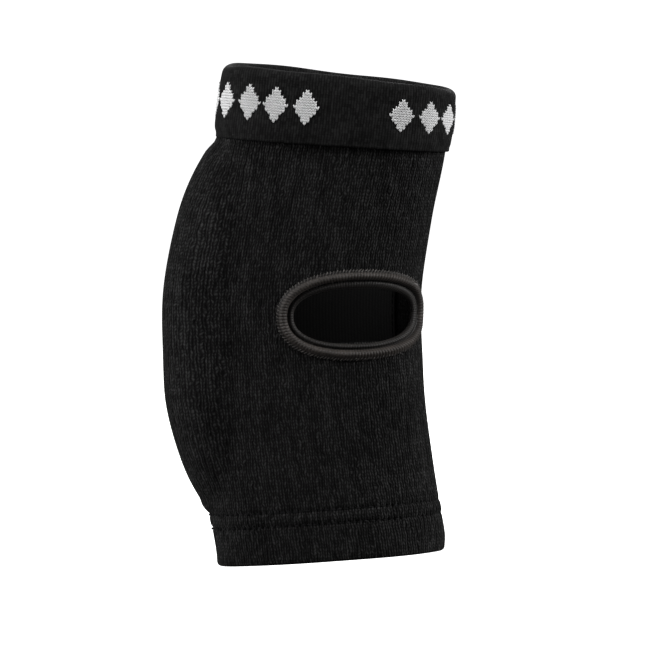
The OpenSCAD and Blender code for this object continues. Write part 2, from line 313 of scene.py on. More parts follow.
def inside_out(mesh):
    """Whether the faces enclose a negative volume."""
    mesh.calc_loop_triangles()
    triangles = np.zeros(len(mesh.loop_triangles) * 3, np.int32)
    mesh.loop_triangles.foreach_get("vertices", triangles)
    a, b, c = mesh_points(mesh)[triangles.reshape(-1, 3)].transpose(1, 0, 2)
    return float(np.einsum("ij,ij->i", a, np.cross(b, c)).sum()) < 0


def closed_grid(name, points, u, v, keep=None):
    """A piece from a grid of points that closes on itself both ways. u and v are the thread counts along
    its two sides, with one value more than there are points, and keep says which faces are made."""
    rows, columns = points.shape[:2]
    i, j = np.meshgrid(np.arange(rows), np.arange(columns), indexing="ij")
    if keep is not None:
        i, j = i[keep], j[keep]
    i, j = i.ravel(), j.ravel()
    i_next, j_next = (i + 1) % rows, (j + 1) % columns
    corners = [(i, j), (i_next, j), (i_next, j_next), (i, j_next)]
    faces = np.stack([a * columns + b for a, b in corners], -1)
    counts = [(i, j), (i + 1, j), (i + 1, j + 1), (i, j + 1)]
    uvs = np.stack([np.stack([u[a], v[b]], -1) for a, b in counts], 1)
    return make_object(name, points.reshape(-1, 3), faces.tolist(), uvs)


def lengths_along(points):
    """Running length of a closed line of points, with its whole length last."""
    steps = np.linalg.norm(np.roll(points, -1, axis=0) - points, axis=1)
    return np.concatenate([[0], np.cumsum(steps)])


def smooth_loop(points, steps):
    """A closed curve through the points."""
    points = np.asarray(points, float)
    count = len(points)
    t = np.arange(count * steps) / steps
    i = t.astype(int)
    f = (t - i)[:, None]
    p0, p1, p2, p3 = (points[(i + k) % count] for k in (-1, 0, 1, 2))
    bend = 2 * p0 - 5 * p1 + 4 * p2 - p3
    swing = 3 * (p1 - p2) + p3 - p0
    return p1 + 0.5 * f * (p2 - p0 + f * (bend + f * swing))


def thread_tubes(name, paths, radii, up, sides=6, closed=False):
    """Threads along paths, an array of lines of points. up holds the outward direction at each point."""
    lines, steps = paths.shape[:2]
    if closed:
        along = np.roll(paths, -1, axis=1) - np.roll(paths, 1, axis=1)
    else:
        along = np.gradient(paths, axis=1)
    along /= np.linalg.norm(along, axis=-1, keepdims=True)
    side = np.cross(along, up)
    side /= np.linalg.norm(side, axis=-1, keepdims=True)
    out = np.cross(side, along)
    angle = np.arange(sides) * FULL_TURN / sides
    radii = np.broadcast_to(radii, (lines, steps))[..., None, None]
    spread = np.cos(angle)[:, None] * side[:, :, None] + np.sin(angle)[:, None] * out[:, :, None]
    points = paths[:, :, None] + radii * spread
    faces, uvs = [], []
    spans = steps if closed else steps - 1
    for line in range(lines):
        start = line * steps * sides
        for i in range(spans):
            low, high = start + i * sides, start + ((i + 1) % steps) * sides
            for j in range(sides):
                k = (j + 1) % sides
                faces.append((low + j, low + k, high + k, high + j))
                a, b = j / sides, (j + 1) / sides
                uvs += [(i, a), (i, b), (i + 1, b), (i + 1, a)]
        if not closed:
            faces.append(tuple(start + j for j in range(sides))[::-1])
            faces.append(tuple(start + (steps - 1) * sides + j for j in range(sides)))
            uvs += [(0, j / sides) for j in range(sides)] * 2
    return make_object(name, points.reshape(-1, 3), faces, uvs)


def outwards(turn, height):
    """Unit direction away from the arm."""
    away = on_sleeve(turn, height, 4.0) - on_sleeve(turn, height, 3.0)
    return away / np.linalg.norm(away, axis=-1, keepdims=True)


# ---- Materials -------------------------------------------------------------------------------------------


class Wire:
    """A value in a material's node tree, which arithmetic joins into math nodes."""

    def __init__(self, tree, socket):
        self.tree = tree
        self.socket = socket

    def math(self, operation, *others, clamp=False):
        node = self.tree.nodes.new("ShaderNodeMath")
        node.operation = operation
        node.use_clamp = clamp
        self.tree.links.new(self.socket, node.inputs[0])
        for i, other in enumerate(others, 1):
            if isinstance(other, Wire):
                self.tree.links.new(other.socket, node.inputs[i])
            else:
                node.inputs[i].default_value = other
        return Wire(self.tree, node.outputs[0])

    def __add__(self, other):
        return self.math("ADD", other)

    def __sub__(self, other):
        return self.math("SUBTRACT", other)

    def __mul__(self, other):
        return self.math("MULTIPLY", other)

    def __pow__(self, other):
        return self.math("POWER", other)

    def wave(self):
        """A round hump for each whole number, from 0 to 1 and back."""
        return (self * math.pi).math("SINE").math("ABSOLUTE")

    def clamped(self):
        return self.math("ADD", 0.0, clamp=True)


class Finish:
    """A procedural material: a surface shader with its pattern built from threads and noise."""

    def __init__(self, name):
        self.material = bpy.data.materials.new(name)
        self.material.use_nodes = True
        self.tree = self.material.node_tree
        self.shader = self.tree.nodes["Principled BSDF"]

    def threads(self):
        """The thread counts along and across the piece."""
        uv = self.tree.nodes.new("ShaderNodeUVMap")
        uv.uv_map = "threads"
        split = self.tree.nodes.new("ShaderNodeSeparateXYZ")
        self.tree.links.new(uv.outputs[0], split.inputs[0])
        return Wire(self.tree, split.outputs[0]), Wire(self.tree, split.outputs[1])

    def noise(self, scale, detail=2.0, roughness=0.5, stretch=(1, 1, 1)):
        """Noise in the object's own space, scale in features a metre."""
        place_node = self.tree.nodes.new("ShaderNodeTexCoord")
        mapping = self.tree.nodes.new("ShaderNodeMapping")
        mapping.inputs["Scale"].default_value = stretch
        texture = self.tree.nodes.new("ShaderNodeTexNoise")
        texture.inputs["Scale"].default_value = scale
        texture.inputs["Detail"].default_value = detail
        texture.inputs["Roughness"].default_value = roughness
        self.tree.links.new(place_node.outputs["Object"], mapping.inputs[0])
        self.tree.links.new(mapping.outputs[0], texture.inputs["Vector"])
        return Wire(self.tree, texture.outputs[0])

    def cells(self, scale):
        """Distance from the nearest of many scattered spots, in the object's own space."""
        place_node = self.tree.nodes.new("ShaderNodeTexCoord")
        texture = self.tree.nodes.new("ShaderNodeTexVoronoi")
        texture.inputs["Scale"].default_value = scale
        self.tree.links.new(place_node.outputs["Object"], texture.inputs["Vector"])
        return Wire(self.tree, texture.outputs["Distance"])

    def chance(self, first, second):
        """A random value for each pair of whole numbers."""
        join = self.tree.nodes.new("ShaderNodeCombineXYZ")
        texture = self.tree.nodes.new("ShaderNodeTexWhiteNoise")
        texture.noise_dimensions = "2D"
        self.tree.links.new(first.math("FLOOR").socket, join.inputs[0])
        self.tree.links.new(second.math("FLOOR").socket, join.inputs[1])
        self.tree.links.new(join.outputs[0], texture.inputs["Vector"])
        return Wire(self.tree, texture.outputs[0])

    def colour(self, factor, *stops):
        """Base colour from a factor, through stops of (position, colour)."""
        ramp = self.tree.nodes.new("ShaderNodeValToRGB")
        points = ramp.color_ramp.elements
        while len(points) < len(stops):
            points.new(0.5)
        for point, (position, shade) in zip(points, stops):
            point.position = position
            point.color = (*shade, 1)
        self.tree.links.new(factor.socket, ramp.inputs[0])
        self.tree.links.new(ramp.outputs[0], self.shader.inputs["Base Color"])

    def relief(self, height, depth_mm, strength=1.0):
        bump = self.tree.nodes.new("ShaderNodeBump")
        bump.inputs["Strength"].default_value = strength
        bump.inputs["Distance"].default_value = depth_mm * MM
        self.tree.links.new(height.socket, bump.inputs["Height"])
        self.tree.links.new(bump.outputs[0], self.shader.inputs["Normal"])

    def roughness(self, factor, low, high):
        value = factor * (high - low) + low
        self.tree.links.new(value.socket, self.shader.inputs["Roughness"])

    def sheen(self, weight, roughness=0.5, tint=(1, 1, 1)):
        self.shader.inputs["Sheen Weight"].default_value = weight
        self.shader.inputs["Sheen Roughness"].default_value = roughness
        self.shader.inputs["Sheen Tint"].default_value = (*tint, 1)

    def gloss(self, level):
        self.shader.inputs["Specular IOR Level"].default_value = level


def knit_stitches(finish, slant, jitter):
    """Rows of V-shaped stitches, two slanting legs to each wale: their height, and how each one varies."""
    wales, courses = finish.threads()
    wobble = finish.noise(260, 2, 0.5)
    wales = wales + (wobble - 0.5) * jitter
    courses = courses + (finish.noise(310, 2, 0.5) - 0.5) * jitter
    across = wales.math("PINGPONG", 0.5) * 2
    slanted = courses - across * slant
    leg = across.wave() ** 1.1
    along = slanted.wave() ** 0.4
    return leg * along, finish.chance(wales * 2, slanted)


def sleeve_knit_finish():
    finish = Finish("sleeve_knit")
    stitch, own = knit_stitches(finish, 0.8, 0.9)
    fuzz = finish.noise(1500, 3, 0.65)
    heather = finish.noise(110, 3, 0.6, stretch=(1.6, 1.6, 0.5))
    # The stitch height in the tone darkens the gaps between stitches: painted shade. own, fuzz and heather
    # vary the yarn's own tone.
    tone = (stitch * 0.5 + own * 0.25 + fuzz * 0.5 + heather * 0.4 - 0.35).clamped()
    finish.colour(
        tone,
        (0.1, (0.0008, 0.0008, 0.0008)),
        (0.5, (0.0058, 0.0058, 0.0058)),
        (1.0, (0.034, 0.034, 0.034)),
    )
    finish.relief(stitch * 0.7 + own * 0.25 + fuzz * 0.5, 0.6, 1.0)
    finish.roughness(fuzz, 0.8, 0.95)
    finish.gloss(0.03)
    finish.sheen(0.024, 0.3, (0.8, 0.8, 0.8))
    return finish.material


def cuff_knit_finish():
    finish = Finish("cuff_knit")
    wales, courses = finish.threads()
    wobble = finish.noise(330, 2, 0.5)
    wales = wales + (wobble - 0.5) * 0.7
    rib = wales.wave() ** 0.6
    loop = (courses + wobble * 1.5).wave() ** 0.3
    own = finish.chance(wales, courses * 0.7)
    fuzz = finish.noise(2200, 3, 0.65)
    heather = finish.noise(150, 3, 0.6, stretch=(1.4, 1.4, 0.6))
    # The rib and loop terms darken the hollows between ribs and loops: painted shade. own, fuzz and heather
    # vary the yarn's own tone.
    tone = (rib * (loop * 0.15 + 0.28) + own * 0.22 + fuzz * 0.5 + heather * 0.4 - 0.28).clamped()
    finish.colour(
        tone,
        (0.1, (0.0009, 0.0009, 0.0009)),
        (0.5, (0.0042, 0.0042, 0.0042)),
        (1.0, (0.018, 0.018, 0.018)),
    )
    finish.relief(rib * 0.35 + loop * 0.12 + own * 0.2 + fuzz * 0.5, 0.3, 0.8)
    finish.roughness(fuzz, 0.75, 0.92)
    finish.gloss(0.03)
    finish.sheen(0.01, 0.3, (0.8, 0.8, 0.85))
    return finish.material


def motif_yarn_finish():
    finish = Finish("motif_yarn")
    along, around = finish.threads()
    twist = (along * 0.8 + around * 2).wave()
    fibre = finish.noise(3200, 3, 0.6)
    tone = (twist * 0.4 + fibre * 0.7).clamped()
    finish.colour(tone, (0.1, (0.26, 0.26, 0.265)), (0.55, (0.47, 0.47, 0.473)), (1.0, (0.65, 0.65, 0.65)))
    finish.relief(twist * 0.5 + fibre * 0.6, 0.12, 0.8)
    finish.roughness(fibre, 0.65, 0.9)
    finish.gloss(0.1)
    finish.sheen(0.03)
    return finish.material


def binding_finish():
    finish = Finish("binding_tape")
    ribs, across = finish.threads()
    rib = ribs.wave() ** 0.7
    weave = (across * 2.2).wave() ** 0.6
    fibre = finish.noise(1800, 3, 0.6)
    wear = finish.noise(160, 3, 0.6)
    # Painted shade: the tone is darkened along the flange where the tape meets the fabric, from the groove
    # inwards over the lip and the tape's inside, and in spots at the needle holes.
    flange = across.math("LESS_THAN", BINDING_FLANGE)
    lip = across.math("GREATER_THAN", BINDING_GROOVE)
    needle_hole_shade = (across - BINDING_NEEDLE).math("ABSOLUTE").math("LESS_THAN", 0.3) * (ribs.wave() ** 6)
    # The rib and weave terms lighten the rib crests and darken the hollows between ribs: painted highlight
    # and painted shade. fibre and wear vary the tape's own tone.
    body = rib * 0.3 + weave * 0.1 + fibre * 0.3 + wear * 0.6
    tone = (body - flange * 0.22 - lip * 0.42 - needle_hole_shade * 0.6 - 0.18).clamped()
    finish.colour(
        tone,
        (0.1, (0.0026, 0.0021, 0.0018)),
        (0.5, (0.0119, 0.0097, 0.0084)),
        (1.0, (0.046, 0.0385, 0.034)),
    )
    finish.relief(rib * 0.7 + weave * 0.25 + fibre * 0.2, 0.25, 0.8)
    finish.roughness(fibre, 0.38, 0.6)
    finish.gloss(0.18)
    finish.sheen(0.03, 0.4, (1, 0.93, 0.87))
    return finish.material


def thread_finish(name, dark, middle, light, gloss=0.35):
    """Twisted sewing thread."""
    finish = Finish(name)
    along, around = finish.threads()
    twist = (along * 1.2 + around * 2).wave()
    fibre = finish.noise(4000, 2, 0.6)
    worn = finish.noise(600, 1, 0.5)
    tone = (twist * 0.3 + fibre * 0.4 + worn * 1.2 - 0.5).clamped()
    finish.colour(tone, (0.1, dark), (0.5, middle), (1.0, light))
    finish.relief(twist, 0.08, 0.8)
    finish.roughness(fibre, 0.45, 0.7)
    finish.gloss(gloss)
    return finish.material


def foam_finish():
    finish = Finish("pad_foam")
    pores = finish.cells(900)
    grain = finish.noise(700, 4, 0.6)
    finish.colour((pores + grain * 0.6).clamped(), (0.1, (0.03, 0.03, 0.033)), (0.8, (0.12, 0.12, 0.13)))
    finish.relief(pores + grain * 0.4, 0.5, 0.9)
    finish.roughness(grain, 0.8, 1.0)
    finish.gloss(0.2)
    return finish.material


def lining_finish():
    finish = Finish("pocket_lining")
    wales, courses = finish.threads()
    rib = wales.wave()
    loop = (courses + wales * 0.5).wave() ** 0.4
    fuzz = finish.noise(1800, 2, 0.5)
    finish.colour(
        (rib * (loop * 0.2 + 0.2) + fuzz * 0.6 + 0.1).clamped(),
        (0.1, (0.008, 0.008, 0.008)),
        (0.6, (0.018, 0.018, 0.018)),
        (1.0, (0.034, 0.034, 0.034)),
    )
    finish.relief(rib * 0.5 + loop * 0.2 + fuzz * 0.3, 0.2, 0.7)
    finish.roughness(fuzz, 0.7, 0.95)
    finish.gloss(0.2)
    return finish.material


def elastic_finish():
    """Braided elastic, for the CAD tape, whose pattern is in the object's own space."""
    finish = Finish("elastic_tape")
    ridge = finish.noise(700, 2, 0.5, stretch=(0.15, 0.15, 1))
    fibre = finish.noise(2500, 2, 0.5)
    finish.colour((ridge * 0.8 + fibre * 0.3).clamped(), (0.2, (0.3, 0.3, 0.28)), (0.9, (0.58, 0.58, 0.55)))
    finish.relief(ridge + fibre * 0.3, 0.3, 0.8)
    finish.roughness(fibre, 0.6, 0.85)
    return finish.material


def dress(piece, material, slot_name, *nodes):
    """Gives a piece its material and hides the CAD nodes that it stands for; slot_name is not used."""
    piece.data.materials.append(material)
    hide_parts(*nodes)
    return piece


def bend_with_elbow(piece):
    """Bakes the placement of fabric that crosses the elbow into its mesh."""
    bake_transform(piece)
    return piece


# ---- The sleeve ------------------------------------------------------------------------------------------


def sleeve_profile():
    """Heights and depths down the outer face, around the hem's fold, and up the inner faces."""
    at_stitches = np.concatenate([row + np.linspace(-1.6, 1.6, 9) for row in (LOWER_ROW, UPPER_ROW)])
    between_stitches = [18.9, 19.8, 20.7]
    hem_rows = np.arange(3, 15, 1.5)
    lobe_rows = np.arange(25, 36, 1.0)
    plain_rows = np.arange(37, SLEEVE_TOP, 1.9)
    rows = np.concatenate([at_stitches, hem_rows, lobe_rows, plain_rows, between_stitches, [SLEEVE_TOP]])
    down = np.sort(rows)[::-1]
    outer = np.stack([down, np.full_like(down, KNIT_OUTSIDE)], 1)
    middle, radius = (KNIT_OUTSIDE + TURNED_INSIDE) / 2, (KNIT_OUTSIDE - TURNED_INSIDE) / 2
    angle = np.linspace(0, math.pi, 11)
    fold = np.stack([radius * (1 - np.sin(angle)), middle + radius * np.cos(angle)], 1)
    turned_rows = np.arange(4, HEM_TOP, 3.0)
    turned = np.stack([turned_rows, np.full_like(turned_rows, TURNED_INSIDE)], 1)
    edge = np.array([
        [HEM_TOP, TURNED_INSIDE],
        [HEM_TOP + 0.5, -0.4],
        [HEM_TOP + 0.5, 0.4],
        [HEM_TOP + 0.3, 0.9],
    ])
    inner_rows = np.append(np.arange(26, SLEEVE_TOP, 3.5), SLEEVE_TOP)
    inner = np.stack([inner_rows, np.full_like(inner_rows, KNIT_INSIDE)], 1)
    return np.concatenate([outer, fold, turned, edge, inner]), len(outer)


def stitch_grooves(distance, height):
    """How far the two rows of hem stitches pull the fabric in."""
    tug = 0.65 + 0.35 * np.cos(FULL_TURN * distance / HEM_STITCH)
    groove_depth, groove_reach = 0.85, 0.8
    ridge_rise, ridge_reach = 0.3, 2.2
    grooves = sum(hump(height, row, groove_reach) for row in (LOWER_ROW, UPPER_ROW))
    between = hump(height, (LOWER_ROW + UPPER_ROW) / 2, ridge_reach)
    return ridge_rise * between - groove_depth * tug * grooves


def make_sleeve():
    wale_count = round(SLEEVE.length / WALE)
    column_count = wale_count * COLUMNS_PER_WALE
    profile, outer_count = sleeve_profile()
    wales = np.arange(column_count + 1) / COLUMNS_PER_WALE
    distance = wales[:-1, None] * SLEEVE.length / wale_count
    height, depth = profile[None, :, 0], profile[None, :, 1]
    # Wales wander a little, as knitted ones do, and each has its own fullness
    numbers = np.round(wales[:-1, None])
    wander = 0.16 * np.sin(height / 9 + 1.7 * numbers) + 0.22 * np.sin(height / 29 + 0.31 * numbers)
    turn = SLEEVE.turn(distance + wander)
    fullness = 1 + 0.35 * np.sin(numbers * 2.399) * np.sin(height / 13 + numbers)
    ridge = np.abs(np.sin(math.pi * wales[:-1, None])) ** 0.7
    outer_part = (np.arange(profile.shape[0]) < outer_count + 5)[None, :]
    relief = np.where(outer_part, 1.0, -0.4) * RIB_RELIEF * fullness * (ridge - 0.6)
    pull = np.where(outer_part, stitch_grooves(distance, height), 0)
    side = np.cos(turn)
    corner = 1 - 0.9 * hump(height, 0, 5)
    sides = FLARE_CREASE_SIDE * np.maximum(side, 0) ** 4 - FLARE_ELBOW_SIDE * np.minimum(side, 0) ** 4
    flare = hump(height, 0, FLARE_REACH) * corner * sides
    hem_wave = 0.35 * hump(height, 0, 12) * np.sin(7 * turn + 1)
    lobe = LOBE_RISE * hump(height, LOBE_HEIGHT, LOBE_REACH) * np.maximum(-side, 0) ** 6 * outer_part
    points = on_sleeve(turn, height, depth + relief + pull + flare + hem_wave + lobe)
    points[..., 2] = np.maximum(points[..., 2], 0)
    courses = lengths_along(profile) / COURSE

    # The edge of the cut opening lies inside the binding
    inset = 1
    across = PASSAGE.gap(PASSAGE.distance(turn), OPENING_GIRTH) / (OPENING_HALF_LENGTH + inset)
    up = (height - OPENING_HEIGHT) / (OPENING_HALF_HEIGHT + inset)
    keep = np.abs(across) ** OPENING_POWER + np.abs(up) ** OPENING_POWER > 1
    piece = closed_grid("sleeve_knit_tube", points, wales, courses, keep)
    dress(
        piece,
        sleeve_knit_finish(),
        "sleeve_knit",
        "sleeve_lower_knit",
        "sleeve_elbow_knit",
        "sleeve_upper_knit",
    )
    return bend_with_elbow(piece)


# ---- Sewing ----------------------------------------------------------------------------------------------


def stitch_row(
    name, turns, heights, depth, radius, material, node, arch=0.3, shape=on_sleeve, fill=0.84
):
    """Separate stitches along a closed line, which dip into the fabric at both ends."""
    steps = 6
    t = np.linspace(-0.5, 0.5, steps) * fill
    count = len(turns)
    index = np.arange(count)[:, None] + t[None, :]
    unwrapped = np.unwrap(np.append(turns, turns[0]))
    along_turn = np.interp(np.mod(index, count), np.arange(count + 1), unwrapped)
    along_height = np.interp(np.mod(index, count), np.arange(count + 1), np.append(heights, heights[0]))
    # Every stitch lies a little askew and stands its own height
    askew, unevenness, dip = 0.28, 0.12, 1.9
    number = np.arange(count)[:, None]
    along_height = along_height + askew * np.sin(number * 2.1) * t[None, :] * 2
    lift = arch * (1 - (2 * t[None, :] / fill) ** 2 * dip) + unevenness * np.sin(number * 1.3)
    paths = shape(along_turn, along_height, depth + lift)
    radii = radius * np.array([0.55, 0.95, 1.05, 1.05, 0.95, 0.55])
    piece = thread_tubes(name, paths, radii, outwards(along_turn, along_height))
    return dress(piece, material, "black_thread", node)


def make_hem_stitches(thread):
    for name, row, node in (
        ("hem_lower_stitches", LOWER_ROW, "hem_lower_row_thread"),
        ("hem_upper_stitches", UPPER_ROW, "hem_upper_row_thread"),
    ):
        distance = (np.arange(HEM_STITCH_COUNT) + 0.5) * HEM_STITCH
        heights = row + 0.25 * np.sin(distance / 19 + row)
        depth = KNIT_OUTSIDE - 0.5
        turns = SLEEVE.turn(distance)
        piece = stitch_row(name, turns, heights, depth, HEM_THREAD_RADIUS, thread, node)
        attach(piece, "forearm_half")


def make_hem_looper(thread):
    """The looper thread zigzags between the rows inside the hem."""
    per_zigzag = 8
    t = np.arange(HEM_STITCH_COUNT * per_zigzag) / per_zigzag
    turn = SLEEVE.turn(t * HEM_STITCH)
    swing = np.arcsin(np.sin(FULL_TURN * t) * 0.97) / (math.pi / 2)
    height = (LOWER_ROW + UPPER_ROW) / 2 + swing * (UPPER_ROW - LOWER_ROW) / 2
    path = place(turn, height, TURNED_INSIDE - 0.25)
    inward = -outwards(turn, height)
    piece = thread_tubes(
        "hem_looper_zigzag", path[None], LOOPER_THREAD_RADIUS, inward[None], sides=5, closed=True
    )
    dress(piece, thread, "black_thread", "hem_looper_thread")
    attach(piece, "forearm_half")


# ---- The cuff --------------------------------------------------------------------------------------------


def rim_drop(turn):
    """The rim sinks a little at its two ends and rolls unevenly."""
    ends = 1.2 * np.abs(np.cos(turn)) ** 10
    far_rise = 0.6 * hump(turn, 4.4, 0.7)
    return ends - far_rise - RIM_RISE + 0.25 * np.sin(3 * turn + 0.4) + 0.2 * np.sin(7 * turn)


def on_cuff(turn, height, depth):
    """A place on the cuff, whose rim is uneven and whose elbow side leans in."""
    part = np.clip((height - CUFF_LOW) / (RIM_HEIGHT - CUFF_LOW), 0, 1)
    elbow_side = np.clip(-np.cos(turn), 0, 1)
    lean = CUFF_LEAN * part**2 * elbow_side**6
    ripple = 0.16 * np.sin(4 * turn + height / 6) + 0.1 * np.sin(9 * turn - height / 4)
    tuck = CUFF_TUCK * hump(height, CUFF_LOW, 3.5) * elbow_side**2
    return place(turn, height - rim_drop(turn) * part**2, depth - tuck - lean + ripple)


def cuff_profile():
    """The strip's section: outer layer, rolled rim and inner layer, as one closed loop."""
    roll = (CUFF_OUTSIDE - CUFF_INSIDE) / 2
    middle = (CUFF_OUTSIDE + CUFF_INSIDE) / 2
    roll_height = RIM_HEIGHT - RIM_ROLL
    outer_face, inner_face = CUFF_OUTSIDE - CUFF_LAYER - 0.1, CUFF_INSIDE + CUFF_LAYER - 0.1
    up = np.linspace(CUFF_LOW + 1.2, roll_height, 26)
    down = np.linspace(roll_height, CUFF_INNER_LOW, 10)
    angle = np.linspace(0, math.pi, 14)[1:-1]
    fold = (outer_face - inner_face) / 2
    parts = [
        np.stack([up, np.full_like(up, CUFF_OUTSIDE)], 1),
        np.stack([roll_height + RIM_ROLL * np.sin(angle), middle + roll * np.cos(angle)], 1),
        np.stack([down, np.full_like(down, CUFF_INSIDE)], 1),
        np.array([[CUFF_INNER_LOW - 0.4, CUFF_INSIDE + 0.6], [CUFF_INNER_LOW, inner_face]]),
        np.stack([down[::-1][1:], np.full(9, inner_face)], 1),
        np.stack([roll_height + fold * np.sin(angle[::-1]), middle + fold * np.cos(angle[::-1])], 1),
        np.stack([np.linspace(roll_height, CUFF_LOW + 1, 8), np.full(8, outer_face)], 1),
        np.array([
            [CUFF_LOW + 0.3, outer_face + 0.1],
            [CUFF_LOW, outer_face + 0.5],
            [CUFF_LOW, CUFF_OUTSIDE - 0.6],
            [CUFF_LOW + 0.3, CUFF_OUTSIDE - 0.15],
        ]),
    ]
    return np.concatenate(parts)


def make_cuff():
    wale_count = round(CUFF.length / CUFF_WALE)
    columns = wale_count * 2
    profile = cuff_profile()
    wales = np.arange(columns + 1) / 2
    turn = CUFF.turn(wales[:-1, None] * CUFF.length / wale_count)
    height, depth = profile[None, :, 0], profile[None, :, 1]
    # The lower edge is drawn in where it is sewn down
    draw = 0.35 * hump(height, CUFF_LOW + CUFF_STITCH_RISE, 0.9) * (depth > KNIT_OUTSIDE)
    points = on_cuff(turn, height, depth - draw)
    courses = lengths_along(profile) / CUFF_COURSE
    piece = closed_grid("cuff_folded_band", points, wales, courses)
    dress(piece, cuff_knit_finish(), "cuff_knit", "cuff_band")
    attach(piece, "upper_arm_half")


def motif_cells():
    """Stitch columns and rows of one diamond, counted from its middle."""
    across = int(DIAMOND_WIDTH / 2 / CUFF_WALE)
    up = int(DIAMOND_HEIGHT / 2 / CUFF_COURSE)
    return [
        (i, j)
        for i in range(-across, across + 1)
        for j in range(-up, up + 1)
        if abs(i) / (across + 0.6) + abs(j) / (up + 0.8) <= 1
    ]


def make_motif():
    """Three groups of plain diamonds, each stitch a V of two legs of yarn."""
    front_left = float(CUFF.distance(MOTIF_LEFT_END))
    front_right = float(CUFF.distance(MOTIF_RIGHT_END))
    half_group = (DIAMOND_COUNT - 1) / 2 * DIAMOND_PITCH + DIAMOND_WIDTH / 2
    left, right = front_left + half_group, front_right - half_group
    back = (left + right + CUFF.length) / 2
    wale = CUFF.length / round(CUFF.length / CUFF_WALE)
    middle_height = (CUFF_LOW + RIM_HEIGHT) / 2 + 0.6
    leg = np.array([[0.03, -0.62], [0.16, -0.2], [0.32, 0.24], [0.46, 0.62]])
    legs = []
    for group in (left, right, back):
        for number in range(DIAMOND_COUNT):
            middle = group + (number - (DIAMOND_COUNT - 1) / 2) * DIAMOND_PITCH
            snapped = (math.floor(middle / wale) + 0.5) * wale
            for i, j in motif_cells():
                for hand in (-1, 1):
                    distance = snapped + (i + hand * leg[:, 0]) * wale
                    legs.append(np.stack([distance, middle_height + (j + leg[:, 1]) * CUFF_COURSE], 1))
    legs = np.array(legs)
    turn, height = CUFF.turn(legs[..., 0]), legs[..., 1]
    lift = np.array([-0.05, 0.16, 0.18, -0.02])
    paths = on_cuff(turn, height, CUFF_OUTSIDE + lift)
    radii = np.array([0.2, 0.34, 0.34, 0.2])
    piece = thread_tubes("cuff_diamond_motif", paths, radii, outwards(turn, height), sides=6)
    dress(piece, motif_yarn_finish(), "motif_yarn", "cuff_motif_yarn")
    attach(piece, "upper_arm_half")


def make_cuff_join(thread):
    turns = CUFF.turn((np.arange(CUFF_STITCH_COUNT) + 0.5) * CUFF.length / CUFF_STITCH_COUNT)
    heights = np.full(CUFF_STITCH_COUNT, CUFF_LOW + CUFF_STITCH_RISE)
    piece = stitch_row(
        "cuff_join_stitches",
        turns,
        heights,
        CUFF_OUTSIDE - 0.6,
        CUFF_THREAD_RADIUS,
        thread,
        "cuff_join_thread",
        arch=0.12,
        shape=on_cuff,
        fill=0.7,
    )
    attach(piece, "upper_arm_half")


# ---- The crease opening ----------------------------------------------------------------------------------


def make_binding():
    """Tape folded over the fabric's edge: a padded roll outside, a thin lip inside the opening."""
    flange = [(BINDING_COVER, 2.7), (BINDING_COVER - 0.1, 3.15), (4.8, 3.3), (4.3, 3.6)]
    roll = [(3.6, 4.3), (2.8, 4.6), (2.0, 4.4), (1.4, 3.8), (1.1, 3.1)]
    groove = [(0.85, 2.5), (0.45, 2.4), (0.1, 2.8)]
    lip = [(-0.4, 3.05), (-1.0, 2.9), (-1.5, 2.4), (-1.7, 1.3), (-1.2, 0.2)]
    inside = [(0.2, -0.35), (2.6, -0.4), (4.6, -0.2), (BINDING_COVER, 0.3)]
    slot_floor = [(BINDING_COVER - 0.3, 0.85), (2.4, 0.9), (0.1, 1.0)]
    slot_roof = [(-0.35, 1.4), (0.1, 1.7), (1.2, 1.9), (2.4, 2.5), (4.4, 2.6)]
    section = smooth_loop(flange + roll + groove + lip + inside + slot_floor + slot_roof, 2)
    rib_count = round(BINDING_LENGTH / BINDING_RIB)
    per_rib = 6
    steps = rib_count * per_rib
    ribs = np.arange(steps + 1) / per_rib
    fine = np.linspace(0, FULL_TURN, 2001)
    turns, heights = opening_spot(fine, 2)
    line = on_sleeve(turns, heights, 3.0)
    run = np.concatenate([[0], np.cumsum(np.linalg.norm(np.diff(line, axis=0), axis=1))])
    angle = np.interp(ribs[:-1] / rib_count * run[-1], run, fine)[:, None]
    rib_rise = 0.13
    ripple = rib_rise * np.abs(np.sin(math.pi * ribs[:-1, None])) ** 0.8
    puff = 0.12 * np.sin(angle * 3 + 0.5) + 0.07 * np.sin(angle * 11)
    cover, depth = section[None, :, 0], section[None, :, 1]
    # Only the roll, which stands above the fabric, is ribbed and uneven
    roll_foot, roll_rise = 2.7, 1.5
    outside = np.clip((depth - roll_foot) / roll_rise, 0, 1)
    # The lip is widest at the elbow side and along the top
    wide = 1.1 * np.maximum(-np.cos(angle), 0) ** 2 + 1.0 * np.maximum(np.sin(angle), 0) ** 2
    lip_width = 1.7
    lip_reach = np.clip(-cover / lip_width, 0, 1) * wide
    where_turn, where_height = opening_spot(angle, cover - lip_reach + 0.1 * puff)
    points = on_sleeve(where_turn, where_height, depth + outside * (ripple + puff))
    across = lengths_along(section)
    piece = closed_grid("crease_binding_tape", points, ribs, across)
    dress(piece, binding_finish(), "binding_tape", "crease_binding")
    bend_with_elbow(piece)
    return angle[::per_rib, 0]


